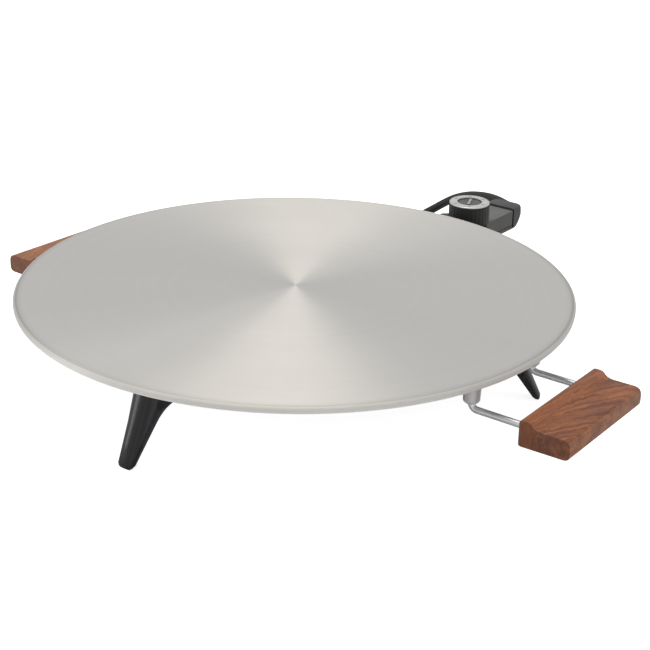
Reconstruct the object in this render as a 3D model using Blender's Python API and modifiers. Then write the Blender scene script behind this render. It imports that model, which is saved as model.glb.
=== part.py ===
"""Electric griddle: a round cast aluminium plate on three legs, with two wooden side handles,
an embedded heating element and a plug-in temperature control on a short cord.

Units are metres and +Z is up. The plate's own axis is the working origin: every piece hangs
from the empty "griddle", which stands at the plate's axis on the table. Seen from above, the
handles lie along X and the control plugs in from the back, along +Y.
"""

import math

import bmesh
import bpy
from mathutils import Matrix, Vector

# ---------------------------------------------------------------- driving dimensions
GAP = 0.0003  # air between pieces that touch on the real object

PLATE_RADIUS = 0.2032
PLATE_TOP = 0.0762
PLATE_THICKNESS = 0.0058
PLATE_SIDES = 128
SHOULDER_REACH = 0.0120  # how far in from the rim the top starts to fall
SHOULDER_DROP = 0.0003
EDGE_REACH = 0.0022  # the rounded edge itself
EDGE_DROP = 0.0020
UNDERSIDE = PLATE_TOP - PLATE_THICKNESS
CAST_IN = 0.0004  # how far a boss is sunk into the plate, so that they join

ELEMENT_RING_RADIUS = 0.1000
SHEATH_RADIUS = 0.0040
CHANNEL_WALL = 0.0042
CHANNEL_BOTTOM = UNDERSIDE - 0.0070
CHANNEL_ROOF = UNDERSIDE + 0.0005
ELEMENT_Z = CHANNEL_ROOF - GAP - SHEATH_RADIUS
ELEMENT_GAP_HALF = 0.0360  # half of the break in the channel, at the back

TERMINAL_X = 0.0190
TERMINAL_Z = 0.0540
TERMINAL_PIN_RADIUS = 0.0024
SHEATH_END_Y = 0.1400
INSULATOR_END_Y = 0.1480
TERMINAL_PIN_END_Y = 0.2000

PROBE_RADIUS = 0.0031
PROBE_TIP_Y = 0.1000
PROBE_END_Y = 0.1960
WELL_HALF_WIDTH = 0.0080
WELL_FRONT_Y = 0.0930
WELL_BACK_Y = 0.1380
WELL_BOTTOM = 0.0475
WELL_BORE_RADIUS = PROBE_RADIUS + 0.0004

GUARD_HALF_WIDTH = 0.0320
GUARD_FLANGE_HALF = 0.0440
GUARD_FRONT_Y = 0.1500
GUARD_BACK_Y = 0.1860
GUARD_BOTTOM = 0.0425
GUARD_SHEET = 0.0012
GUARD_SCREW_X = 0.0385
GUARD_SCREW_Y = 0.1680

SOCKET_X = 0.1784
SOCKET_Y = 0.0385
SOCKET_BOTTOM = 0.0506
SOCKET_TOP_RADIUS = 0.0066
SOCKET_END_RADIUS = 0.0057
SOCKET_NOSE = 0.0018
SET_SCREW_Z = 0.0590
SET_SCREW_RADIUS = 0.0015

ROD_RADIUS = 0.0024
ROD_BEND_RADIUS = 0.0048
ROD_Z = 0.0463
ROD_TOP = 0.0660
ROD_IN_WOOD = 0.0260

# How each grip sits on its rods: distance of its inner face, height of its underside, and the
# few degrees it is turned out of square. The two differ slightly, as the rods are hand-bent.
GRIP_SEATS = {"right": (0.2212, 0.0368, 1.6), "left": (0.2166, 0.0386, -1.2)}
GRIP_WIDTH = 0.0370
GRIP_LENGTH = 0.1016
GRIP_FRONT_Y = -0.0492
GRIP_THICKNESS = 0.0186
GRIP_RIDGE_WIDTH = 0.0070
GRIP_SCOOP_WIDTH = 0.0060
GRIP_SHELF_DROP = 0.0045
GRIP_NOSE_RADIUS = 0.0055  # along the outer upper edge
GRIP_KEEL_RADIUS = 0.0045  # and along the outer lower edge

LEG_ANGLES = {"front": -90, "rear_right": 30, "rear_left": 150}
LEG_TIP_OUTER = 0.1838
LEG_TIP_THICKNESS = 0.0050
LEG_OUTER_LEAN = 0.46  # inward travel of the outer face for each unit of height
LEG_INNER_LEAN = 0.71
LEG_TOP = UNDERSIDE - 0.0040
LEG_ARM_RADIUS = 0.1180  # inner end of the arm that is screwed to the plate
LEG_ARM_BOTTOM = 0.0420
LEG_ARM_SLOPE = 0.14
LEG_TIP_HALF = 0.0063
LEG_TOP_HALF = 0.0141
LEG_ROUND = 0.42  # the outer side's crown, as a share of the leg's thickness
LEG_CROWN = 0.0050  # and its limit
LEG_CORNER = 0.0010
LEG_SCREW_RADIUS_AT = 0.1280
LEG_SCREW_SEAT = 0.0590

CONTROL_FRONT_Y = 0.1780
CONTROL_HEAD_HALF = 0.0305
# The neck's reach to each side, where each shoulder of the head ends and where it meets the neck.
# The left side, with the pilot lamp, is a little larger.
CONTROL_NECK = {"right": (0.0135, 0.2250, 0.2400), "left": (0.0158, 0.2390, 0.2540)}
CONTROL_BACK_Y = 0.2842
CONTROL_BOTTOM = 0.0450
CONTROL_TOP = 0.0620
CONTROL_SEAM = 0.0484
CONTROL_WALL = 0.0020
CONTROL_EDGE = 0.0010
POST_RADIUS = 0.0028
POSTS = {"left": (-0.0235, 0.2120), "right": (0.0235, 0.2120), "back": (0.0, 0.2680)}
CAP_END_Y = 0.3022
CAP_INSET = 0.0004  # the cap is this much narrower than the neck on each side
CAP_FRONT_Y = 0.2860
CAP_CORNER = 0.0058  # the rear corners, seen from above
CAP_MIDDLE = 0.0540  # the height at which the cap reaches furthest back
CAP_LEAN = 0.0007  # how far the rear leans in above that height
CAP_UNDERCUT = 0.0070  # and how far it slopes in below it
CAP_BOTTOM = 0.0440
CAP_TOP = 0.0629

KNOB_Y = 0.2340
KNOB_RADIUS = 0.0170
KNOB_BOTTOM = CONTROL_TOP + 0.0005
KNOB_TOP = 0.0790
KNOB_FLUTES = 30
KNOB_FLUTE_DEPTH = 0.0005
DIAL_THICKNESS = 0.0010
DIAL_HOLE_RADIUS = 0.0103
KNOB_WELL_DEPTH = 0.0016
SPINDLE_RADIUS = 0.0030
SPINDLE_TIP = 0.0572
POINTER_ANGLE = 32  # the pointer at rest, in degrees from +Y towards -X

LENS_AT = (-0.0200, 0.2190)
LENS_RADIUS = 0.0030

CORD_RADIUS = 0.0035
TABLE_CORD_Z = CORD_RADIUS + 0.00015
RELIEF_LENGTH_POINTS = 6
COIL_CENTRE = (-0.08595, 0.2900)
COIL_MIDDLE_RADIUS = 0.0370
COIL_PITCH = 0.0073
COIL_LAYERS = 2
TAIL_LENGTH = 0.0640
PLUG_LENGTH = 0.0370
PLUG_HALF_WIDTH = 0.0130
PLUG_HALF_HEIGHT = 0.0080
BLADE_SPACING = 0.0127
BLADE_SIZE = (0.0165, 0.0015, 0.0063)

# The origin lies on the table, about in the middle of the griddle and its control together.
AXIS_Y = -0.0474

# The cord's route from the back of the control to the coil, relative to the plate's axis.
CORD_ROUTE = [
    (-0.0030, 0.3025, 0.0484),
    (-0.0033, 0.3068, 0.0484),
    (-0.0048, 0.3128, 0.0483),
    (-0.0080, 0.3190, 0.0482),
    (-0.0126, 0.3247, 0.0480),
    (-0.0186, 0.3295, 0.0477),
    (-0.0340, 0.3387, 0.0469),
    (-0.0505, 0.3458, 0.0451),
    (-0.0690, 0.3517, 0.0410),
    (-0.0830, 0.3553, 0.0361),
    (-0.0946, 0.3580, 0.0304),
    (-0.1018, 0.3590, 0.0259),
    (-0.1090, 0.3578, 0.0208),
    (-0.1154, 0.3550, 0.0160),
    (-0.1208, 0.3506, 0.0120),
    (-0.1250, 0.3450, 0.0089),
    (-0.1280, 0.3384, 0.0067),
    (-0.1293, 0.3312, 0.0052),
    (-0.1293, 0.3240, 0.0043),
    (-0.1287, 0.3165, 0.0038),
    (-0.1279, 0.3090, TABLE_CORD_Z),
    (-0.1271, 0.3010, TABLE_CORD_Z),
    (-0.1267, 0.2950, TABLE_CORD_Z),
    (-0.1266, 0.2903, TABLE_CORD_Z),
]

# name: (colour, roughness, metallic)
FINISHES = {
    "cast_aluminium": ((0.62, 0.61, 0.59), 0.35, 1.0),
    "steel_rod": ((0.60, 0.62, 0.63), 0.22, 1.0),
    "screw_steel": ((0.45, 0.45, 0.44), 0.35, 1.0),
    "guard_sheet": ((0.55, 0.55, 0.54), 0.40, 1.0),
    "element_sheath": ((0.16, 0.15, 0.14), 0.55, 0.6),
    "ceramic": ((0.80, 0.77, 0.70), 0.60, 0.0),
    "brass": ((0.72, 0.55, 0.28), 0.30, 1.0),
    "dark_wood": ((0.27, 0.10, 0.045), 0.45, 0.0),
    "black_phenolic": ((0.022, 0.022, 0.024), 0.35, 0.0),
    "control_plastic": ((0.050, 0.050, 0.052), 0.50, 0.0),
    "dial_silver": ((0.62, 0.63, 0.62), 0.40, 0.7),
    "pilot_red": ((0.55, 0.04, 0.03), 0.20, 0.0),
    "cord_rubber": ((0.035, 0.035, 0.035), 0.55, 0.0),
}


# ---------------------------------------------------------------- scene helpers
def clear_scene():
    for obj in list(bpy.data.objects):
        bpy.data.objects.remove(obj, do_unlink=True)


def new_collection(name):
    made = bpy.data.collections.new(name)
    bpy.context.scene.collection.children.link(made)
    return made


def new_empty(name, location, parent=None):
    empty = bpy.data.objects.new(name, None)
    empty.location = location
    empty.parent = parent
    PARTS.objects.link(empty)
    return empty


def finish_material(name):
    """The Principled material of that finish, made once."""
    if name in bpy.data.materials:
        return bpy.data.materials[name]
    colour, roughness, metallic = FINISHES[name]
    material = bpy.data.materials.new(name)
    material.use_nodes = True
    shader = material.node_tree.nodes["Principled BSDF"]
    shader.inputs["Base Color"].default_value = (*colour, 1.0)
    shader.inputs["Roughness"].default_value = roughness
    shader.inputs["Metallic"].default_value = metallic
    return material


def place(name, data, parent, matrix=None):
    """A new object from a mesh or curve, at matrix in its parent's space."""
    obj = bpy.data.objects.new(name, data)
    PARTS.objects.link(obj)
    obj.parent = parent
    obj.matrix_local = matrix or Matrix.Identity(4)
    return obj


def dress(obj, finish, smooth_angle=35):
    obj.data.materials.clear()
    obj.data.materials.append(finish_material(finish))
    if obj.type == "MESH":
        obj.data.shade_smooth()
        obj.data.set_sharp_from_angle(angle=math.radians(smooth_angle))
    return obj


def mesh_from(bm, name):
    mesh = bpy.data.meshes.new(name)
    bm.to_mesh(mesh)
    bm.free()
    return mesh


# ---------------------------------------------------------------- shapes
def along(start, end):
    """The matrix that puts a Z-centred shape's middle between two points, with its Z from start to end."""
    start, end = Vector(start), Vector(end)
    turn = (end - start).to_track_quat("Z", "Y").to_matrix().to_4x4()
    return Matrix.Translation((start + end) / 2) @ turn


def round_bar(name, start, end, radius, parent, end_radius=None, sides=20):
    """A cylinder or cone between two points."""
    bm = bmesh.new()
    bmesh.ops.create_cone(
        bm,
        cap_ends=True,
        segments=sides,
        radius1=radius,
        radius2=radius if end_radius is None else end_radius,
        depth=(Vector(end) - Vector(start)).length,
    )
    return place(name, mesh_from(bm, name), parent, along(start, end))


def block(name, low, high, parent, turn=None):
    """A box between its lowest and highest corners, turned about its parent's axes if asked."""
    low, high = Vector(low), Vector(high)
    bm = bmesh.new()
    bmesh.ops.create_cube(bm, size=1.0, matrix=Matrix.Diagonal((*(high - low), 1.0)))
    turn = turn or Matrix.Identity(4)
    return place(name, mesh_from(bm, name), parent, turn @ Matrix.Translation((low + high) / 2))


def turned(name, profile, parent, matrix=None, sides=24):
    """A solid of revolution about Z. The profile is (radius, height): from the top of the axis
    down the outer side, or a closed loop that starts down its outer side and ends where it began."""
    bm = bmesh.new()
    closed = profile[0] == profile[-1]
    points = [bm.verts.new((r, 0.0, z)) for r, z in (profile[:-1] if closed else profile)]
    for first, second in zip(points, points[1:]):
        bm.edges.new((first, second))
    if closed:
        bm.edges.new((points[-1], points[0]))
    obj = place(name, mesh_from(bm, name), parent, matrix)
    screw = obj.modifiers.new("turn", "SCREW")
    screw.steps = sides
    screw.render_steps = sides
    screw.use_merge_vertices = True
    screw.merge_threshold = 0.00001
    return obj


def as_mesh(obj):
    """The object again, with its curve or modifiers made into one welded mesh."""
    bpy.context.view_layer.update()
    evaluated = obj.evaluated_get(bpy.context.evaluated_depsgraph_get())
    mesh = bpy.data.meshes.new_from_object(evaluated)
    bm = bmesh.new()
    bm.from_mesh(mesh)
    bmesh.ops.remove_doubles(bm, verts=bm.verts, dist=0.000001)
    bm.to_mesh(mesh)
    bm.free()
    name, parent, matrix = obj.name, obj.parent, obj.matrix_local.copy()
    bpy.data.objects.remove(obj, do_unlink=True)
    return place(name, mesh, parent, matrix)


def slab(name, outline, low, high, parent, matrix=None):
    """A flat outline in the XY plane, extruded from low to high along Z."""
    curve = bpy.data.curves.new(name, "CURVE")
    curve.dimensions = "2D"
    curve.fill_mode = "BOTH"
    curve.extrude = (high - low) / 2
    spline = curve.splines.new("POLY")
    spline.points.add(len(outline) - 1)
    for point, (x, y) in zip(spline.points, outline):
        point.co = (x, y, 0.0, 1.0)
    spline.use_cyclic_u = True
    base = matrix or Matrix.Identity(4)
    return as_mesh(place(name, curve, parent, base @ Matrix.Translation((0, 0, (low + high) / 2))))


def tube(name, points, radius, parent, radii=None, resolution=2):
    """A round tube along the points, with filled ends. radii scales the radius at each point."""
    curve = bpy.data.curves.new(name, "CURVE")
    curve.dimensions = "3D"
    curve.bevel_depth = radius
    curve.bevel_resolution = resolution
    curve.use_fill_caps = True
    spline = curve.splines.new("POLY")
    spline.points.add(len(points) - 1)
    for index, point in enumerate(spline.points):
        point.co = (*points[index], 1.0)
        point.radius = radii[index] if radii else 1.0
    return place(name, curve, parent)


def folded_sheet(name, profile, front_y, back_y, thickness, parent):
    """A sheet bent along the profile, (x, z) points, and running from front_y to back_y."""
    bm = bmesh.new()
    points = [bm.verts.new((x, front_y, z)) for x, z in profile]
    edges = [bm.edges.new(pair) for pair in zip(points, points[1:])]
    grown = bmesh.ops.extrude_edge_only(bm, edges=edges)["geom"]
    moved = [item for item in grown if isinstance(item, bmesh.types.BMVert)]
    bmesh.ops.translate(bm, verts=moved, vec=(0, back_y - front_y, 0))
    bmesh.ops.recalc_face_normals(bm, faces=bm.faces)
    obj = place(name, mesh_from(bm, name), parent)
    solidify = obj.modifiers.new("sheet", "SOLIDIFY")
    solidify.thickness = thickness
    solidify.offset = 0.0
    solidify.use_even_offset = True
    return obj


def bevel(obj, width, segments=2, angle=30):
    modifier = obj.modifiers.new("round edges", "BEVEL")
    modifier.width = width
    modifier.segments = segments
    modifier.limit_method = "ANGLE"
    modifier.angle_limit = math.radians(angle)
    modifier.use_clamp_overlap = True


def use(obj, tool, operation):
    """Adds a Boolean with the tool, which then only helps: it is no piece of the griddle."""
    PARTS.objects.unlink(tool)
    CUTTERS.objects.link(tool)
    tool.hide_render = True
    tool.display_type = "WIRE"
    modifier = obj.modifiers.new(operation.lower(), "BOOLEAN")
    modifier.operation = operation
    modifier.object = tool


def cut(obj, tool):
    use(obj, tool, "DIFFERENCE")


def join(obj, tool):
    use(obj, tool, "UNION")


def drill(obj, start, end, radius, sides=16):
    """A round hole between two points in the object's parent's space."""
    cut(obj, round_bar(obj.name + "_hole", start, end, radius, obj.parent, sides=sides))


# ---------------------------------------------------------------- curves by rule
def fillet(before, corner, after, steps):
    """Points of a quadratic curve that rounds a corner."""
    found = []
    for step in range(steps + 1):
        t = step / steps
        found.append(
            tuple(
                (1 - t) ** 2 * a + 2 * t * (1 - t) * b + t * t * c
                for a, b, c in zip(before, corner, after)
            )
        )
    return found


def arc(centre, radius, start, end, steps):
    """Points on an arc in a plane, with angles in degrees."""
    turns = [math.radians(start + (end - start) * i / steps) for i in range(steps + 1)]
    return [(centre[0] + radius * math.cos(a), centre[1] + radius * math.sin(a)) for a in turns]


def smooth_route(points, spacing):
    """A Catmull-Rom curve through the points, sampled about every spacing."""
    route = [Vector(p) for p in points]
    padded = [2 * route[0] - route[1], *route, 2 * route[-1] - route[-2]]
    found = []
    for a, b, c, d in zip(padded, padded[1:], padded[2:], padded[3:]):
        steps = max(1, round((c - b).length / spacing))
        for step in range(steps):
            t = step / steps
            found.append(
                0.5 * (2 * b + (c - a) * t + (2 * a - 5 * b + 4 * c - d) * t**2
                       + (3 * b - a - 3 * c + d) * t**3)
            )
    return [*found, route[-1]]


# ---------------------------------------------------------------- plate
def plate_profile():
    """Half of the plate's section: a flat top with a soft shoulder and a rounded rim, and the
    element's channel below."""
    shoulder_width = SHOULDER_REACH - EDGE_REACH
    fall = [
        (PLATE_RADIUS - SHOULDER_REACH + shoulder_width * t, PLATE_TOP - SHOULDER_DROP * t**2)
        for t in (0.0, 0.25, 0.5, 0.75)
    ]
    fall += [
        (
            PLATE_RADIUS - EDGE_REACH * (1 - math.sin(math.radians(a))),
            PLATE_TOP - SHOULDER_DROP - EDGE_DROP * (1 - math.cos(math.radians(a))),
        )
        for a in range(20, 81, 15)
    ]
    outer = ELEMENT_RING_RADIUS + SHEATH_RADIUS + GAP
    inner = ELEMENT_RING_RADIUS - SHEATH_RADIUS - GAP
    return [
        (0.0, PLATE_TOP),
        *fall,
        (PLATE_RADIUS, PLATE_TOP - 0.0030),
        (PLATE_RADIUS - 0.0003, UNDERSIDE + 0.0014),
        (PLATE_RADIUS - 0.0012, UNDERSIDE + 0.0004),
        (PLATE_RADIUS - 0.0026, UNDERSIDE),
        (outer + CHANNEL_WALL, UNDERSIDE),
        (outer + CHANNEL_WALL, CHANNEL_BOTTOM),
        (outer, CHANNEL_BOTTOM),
        (outer, CHANNEL_ROOF),
        (inner, CHANNEL_ROOF),
        (inner, CHANNEL_BOTTOM),
        (inner - CHANNEL_WALL, CHANNEL_BOTTOM),
        (inner - CHANNEL_WALL, UNDERSIDE),
        (0.0, UNDERSIDE),
    ]


def leg_frame(angle):
    """Local X points outwards along the leg's radius, local Y up and local Z across the leg."""
    return Matrix.Rotation(math.radians(angle), 4, "Z") @ Matrix.Rotation(math.pi / 2, 4, "X")


def on_radius(angle, radius, z):
    turn = math.radians(angle)
    return (radius * math.cos(turn), radius * math.sin(turn), z)


def make_plate():
    plate = turned("griddle_plate", plate_profile(), GRIDDLE, sides=PLATE_SIDES)
    # The channel and its groove stop either side of the terminals.
    cut(plate, block("channel_break", (-ELEMENT_GAP_HALF, 0.080, CHANNEL_BOTTOM - 0.002),
                     (ELEMENT_GAP_HALF, 0.120, UNDERSIDE), GRIDDLE))
    for angle in LEG_ANGLES.values():
        outer = LEG_TIP_OUTER - LEG_OUTER_LEAN * LEG_TOP
        pad = slab("leg_pad", [(LEG_ARM_RADIUS, LEG_TOP + GAP), (outer, LEG_TOP + GAP),
                               (outer, UNDERSIDE + CAST_IN), (LEG_ARM_RADIUS, UNDERSIDE + CAST_IN)],
                   -LEG_TOP_HALF, LEG_TOP_HALF, GRIDDLE, leg_frame(angle))
        join(plate, pad)
    for side in (-1, 1):
        for end in (-1, 1):
            socket = turned("socket", [(0.0, UNDERSIDE + CAST_IN),
                                       (SOCKET_TOP_RADIUS, UNDERSIDE + CAST_IN),
                                       (SOCKET_END_RADIUS, SOCKET_BOTTOM + SOCKET_NOSE),
                                       (SOCKET_END_RADIUS - SOCKET_NOSE, SOCKET_BOTTOM),
                                       (0.0, SOCKET_BOTTOM)],
                            GRIDDLE, Matrix.Translation((side * SOCKET_X, end * SOCKET_Y, 0)), 28)
            join(plate, socket)
    join(plate, block("probe_well", (-WELL_HALF_WIDTH, WELL_FRONT_Y, WELL_BOTTOM),
                      (WELL_HALF_WIDTH, WELL_BACK_Y, UNDERSIDE + CAST_IN), GRIDDLE))
    drill(plate, (0, PROBE_TIP_Y - 0.0015, TERMINAL_Z), (0, WELL_BACK_Y + 0.005, TERMINAL_Z),
          WELL_BORE_RADIUS)
    for side in (-1, 1):
        for end in (-1, 1):
            x, y = side * SOCKET_X, end * SOCKET_Y
            drill(plate, (x, y, SOCKET_BOTTOM - 0.002), (x, y, ROD_TOP + GAP), ROD_RADIUS + GAP, 12)
            drill(plate, (x, y, SET_SCREW_Z), (x - side * 0.012, y, SET_SCREW_Z),
                  SET_SCREW_RADIUS + GAP, 12)
        drill(plate, (side * GUARD_SCREW_X, GUARD_SCREW_Y, UNDERSIDE - 0.002),
              (side * GUARD_SCREW_X, GUARD_SCREW_Y, UNDERSIDE + 0.0032), 0.0018, 12)
    for angle in LEG_ANGLES.values():
        drill(plate, on_radius(angle, LEG_SCREW_RADIUS_AT, LEG_TOP - 0.002),
              on_radius(angle, LEG_SCREW_RADIUS_AT, UNDERSIDE + 0.0032), 0.0023, 12)
    dress(plate, "cast_aluminium")


# ---------------------------------------------------------------- heating element
def make_element():
    """A round sheath in the plate's channel, with both ends bent back and down to the terminals."""
    leave = math.degrees(math.asin((TERMINAL_X + 0.012) / ELEMENT_RING_RADIUS))
    ring = arc((0, 0), ELEMENT_RING_RADIUS, 90 + leave, 450 - leave, 56)
    start_x, start_y = ring[0]
    drop = [
        (-TERMINAL_X - 0.0040, start_y + 0.0050, ELEMENT_Z),
        (-TERMINAL_X - 0.0006, start_y + 0.0120, ELEMENT_Z - 0.0008),
        (-TERMINAL_X, start_y + 0.0190, ELEMENT_Z - 0.0035),
        (-TERMINAL_X, start_y + 0.0265, TERMINAL_Z + 0.0035),
        (-TERMINAL_X, start_y + 0.0335, TERMINAL_Z + 0.0006),
        (-TERMINAL_X, start_y + 0.0380, TERMINAL_Z),
        (-TERMINAL_X, SHEATH_END_Y, TERMINAL_Z),
    ]
    other = [(-x, y, z) for x, y, z in drop]
    path = [*reversed(drop), *[(x, y, ELEMENT_Z) for x, y in ring], *other]
    dress(tube("heating_element", path, SHEATH_RADIUS, GRIDDLE), "element_sheath")
    for side, word in ((-1, "left"), (1, "right")):
        x = side * TERMINAL_X
        bead = round_bar(f"terminal_insulator_{word}", (x, SHEATH_END_Y + GAP, TERMINAL_Z),
                         (x, INSULATOR_END_Y, TERMINAL_Z), SHEATH_RADIUS + 0.0006, GRIDDLE)
        drill(bead, (x, SHEATH_END_Y - 0.002, TERMINAL_Z), (x, INSULATOR_END_Y + 0.002, TERMINAL_Z),
              TERMINAL_PIN_RADIUS + GAP)
        dress(bead, "ceramic")
        pin = turned(f"terminal_pin_{word}", [
            (0.0, TERMINAL_PIN_END_Y), (TERMINAL_PIN_RADIUS * 0.55, TERMINAL_PIN_END_Y),
            (TERMINAL_PIN_RADIUS, TERMINAL_PIN_END_Y - 0.0016),
            (TERMINAL_PIN_RADIUS, SHEATH_END_Y + GAP), (0.0, SHEATH_END_Y + GAP),
        ], GRIDDLE, Matrix.Translation((x, 0, TERMINAL_Z)) @ Matrix.Rotation(-math.pi / 2, 4, "X"), 16)
        dress(pin, "steel_rod")


def make_guard():
    """The folded shield round the terminals, screwed to the plate by its two flanges."""
    flange = UNDERSIDE - GAP - GUARD_SHEET / 2
    half, foot = GUARD_HALF_WIDTH, GUARD_FLANGE_HALF
    profile = [(-foot, flange), (-half, flange), (-half, GUARD_BOTTOM), (half, GUARD_BOTTOM),
               (half, flange), (foot, flange)]
    guard = folded_sheet("terminal_guard", profile, GUARD_FRONT_Y, GUARD_BACK_Y, GUARD_SHEET, GRIDDLE)
    for side, word in ((-1, "left"), (1, "right")):
        x = side * GUARD_SCREW_X
        drill(guard, (x, GUARD_SCREW_Y, UNDERSIDE - 0.006), (x, GUARD_SCREW_Y, UNDERSIDE + 0.002),
              0.0018, 12)
        seat = UNDERSIDE - GAP - GUARD_SHEET
        dress(machine_screw(f"guard_screw_{word}", (x, GUARD_SCREW_Y, seat), 0.0031, 0.0016,
                            0.0015, UNDERSIDE + 0.0028 - seat, GRIDDLE), "screw_steel")
    dress(guard, "guard_sheet")


def machine_screw(name, seat, head_radius, head_height, shank_radius, length, parent):
    """A slotted screw that points up, with the underside of its head just below seat."""
    x, y, z = seat
    z -= GAP
    screw = turned(name, [
        (0.0, z + length), (shank_radius * 0.7, z + length), (shank_radius, z + length - 0.0006),
        (shank_radius, z), (head_radius, z), (head_radius, z - head_height * 0.5),
        (head_radius * 0.72, z - head_height), (0.0, z - head_height),
    ], parent, Matrix.Translation((x, y, 0)), 16)
    cut(screw, block(name + "_slot", (x - head_radius - 0.001, y - 0.0004, z - head_height - 0.001),
                     (x + head_radius + 0.001, y + 0.0004, z - head_height * 0.5), parent))
    return screw


# ---------------------------------------------------------------- legs
def leg_inner_side():
    """The inner side of a leg, as (radius from the plate's axis, height) from the foot up."""
    inner = LEG_TIP_OUTER - LEG_TIP_THICKNESS
    # Where the inner face meets the underside of the arm.
    reach = LEG_ARM_BOTTOM + LEG_ARM_SLOPE * LEG_ARM_RADIUS
    corner_radius = (inner - LEG_INNER_LEAN * reach) / (1 - LEG_INNER_LEAN * LEG_ARM_SLOPE)
    corner_z = reach - LEG_ARM_SLOPE * corner_radius
    below = (corner_radius + LEG_INNER_LEAN * 0.0090, corner_z - 0.0090)
    beyond = (corner_radius - 0.0100, corner_z + LEG_ARM_SLOPE * 0.0100)
    return [
        *[(inner - LEG_INNER_LEAN * z, z) for z in (0.0, 0.0008, 0.0026, 0.0160)],
        *fillet(below, (corner_radius, corner_z), beyond, 5),
        (LEG_ARM_RADIUS + 0.0010, LEG_ARM_BOTTOM),
        (LEG_ARM_RADIUS, LEG_ARM_BOTTOM + 0.0010),
        (LEG_ARM_RADIUS, LEG_TOP - 0.0006),
        (LEG_ARM_RADIUS, LEG_TOP),
    ]


def leg_section(inner, z, inset):
    """One level of a leg, in its frame: flat inside, crowned outside, with small inner corners."""
    outer = LEG_TIP_OUTER - LEG_OUTER_LEAN * z - inset
    inner += inset
    half = LEG_TIP_HALF + (LEG_TOP_HALF - LEG_TIP_HALF) * z / LEG_TOP - inset
    crown = min(LEG_ROUND * (outer - inner), LEG_CROWN)
    corner = min(LEG_CORNER, (outer - inner) * 0.2)
    spine = outer - crown
    front = [
        (spine + crown * math.cos(math.radians(a)), half * math.sin(math.radians(a)))
        for a in range(-90, 91, 18)
    ]
    side = [
        (inner + corner, half),
        (inner + corner * 0.3, half - corner * 0.3),
        (inner, half - corner),
    ]
    ring = [*front, *side, *[(r, -t) for r, t in reversed(side)]]
    return [(r, z, t) for r, t in ring]


def lofted(name, rings, parent, matrix):
    """A closed skin over sections with the same number of points."""
    bm = bmesh.new()
    made = [[bm.verts.new(point) for point in ring] for ring in rings]
    for low, high in zip(made, made[1:]):
        for index in range(len(low)):
            after = (index + 1) % len(low)
            bm.faces.new((low[index], low[after], high[after], high[index]))
    bm.faces.new(made[0])
    bm.faces.new(made[-1])
    bmesh.ops.recalc_face_normals(bm, faces=bm.faces)
    return place(name, mesh_from(bm, name), parent, matrix)


def make_leg(word, angle):
    name = f"leg_{word}"
    insets = {0.0: 0.0019, 0.0008: 0.0008, LEG_TOP: 0.0006}
    rings = [leg_section(r, z, insets.get(z, 0.0)) for r, z in leg_inner_side()]
    leg = lofted(name, rings, GRIDDLE, leg_frame(angle))
    at = LEG_SCREW_RADIUS_AT
    drill(leg, on_radius(angle, at, LEG_ARM_BOTTOM - 0.012), on_radius(angle, at, LEG_SCREW_SEAT), 0.0050)
    drill(leg, on_radius(angle, at, LEG_SCREW_SEAT - 0.001), on_radius(angle, at, LEG_TOP + 0.001), 0.0024)
    dress(leg, "black_phenolic")
    screw = machine_screw(f"leg_screw_{word}", on_radius(angle, at, LEG_SCREW_SEAT), 0.0042, 0.0024,
                          0.0020, UNDERSIDE + 0.0026 - LEG_SCREW_SEAT, GRIDDLE)
    dress(screw, "screw_steel")


# ---------------------------------------------------------------- handles
def grip_outline():
    """The grip's section: x outwards from its inner face, y up from its bottom."""
    top, shelf = GRIP_THICKNESS, GRIP_THICKNESS - GRIP_SHELF_DROP
    ridge, scoop = GRIP_RIDGE_WIDTH, GRIP_RIDGE_WIDTH + GRIP_SCOOP_WIDTH
    nose, keel = GRIP_NOSE_RADIUS, GRIP_KEEL_RADIUS
    return [
        *fillet((0.0, 0.002), (0.0, 0.0), (0.002, 0.0), 3),
        *fillet((GRIP_WIDTH - keel, 0.0), (GRIP_WIDTH, 0.0), (GRIP_WIDTH, keel), 4),
        *fillet((GRIP_WIDTH, shelf - nose), (GRIP_WIDTH, shelf), (GRIP_WIDTH - nose, shelf), 4),
        *fillet((scoop + 0.003, shelf), (scoop - 0.001, shelf), (ridge + 0.0025, (top + shelf) / 2), 3),
        *fillet((ridge + 0.0018, top - 0.0012), (ridge + 0.0005, top), (ridge - 0.0015, top), 2),
        *fillet((0.0022, top), (0.0, top), (0.0, top - 0.0022), 3),
    ]


def grip_frame(side, seat):
    """Local X points outwards, local Y up and local Z along the grip. It turns about its front end."""
    inner, bottom, askew = seat
    front = Matrix.Translation((side * inner, GRIP_FRONT_Y, bottom))
    turn = Matrix.Rotation(math.radians(askew), 4, "Z")
    middle = Matrix.Translation((0, GRIP_LENGTH / 2, 0))
    facing = Matrix.Rotation(0 if side > 0 else math.pi, 4, "Z")
    return front @ turn @ middle @ facing @ Matrix.Rotation(math.pi / 2, 4, "X")


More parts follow.
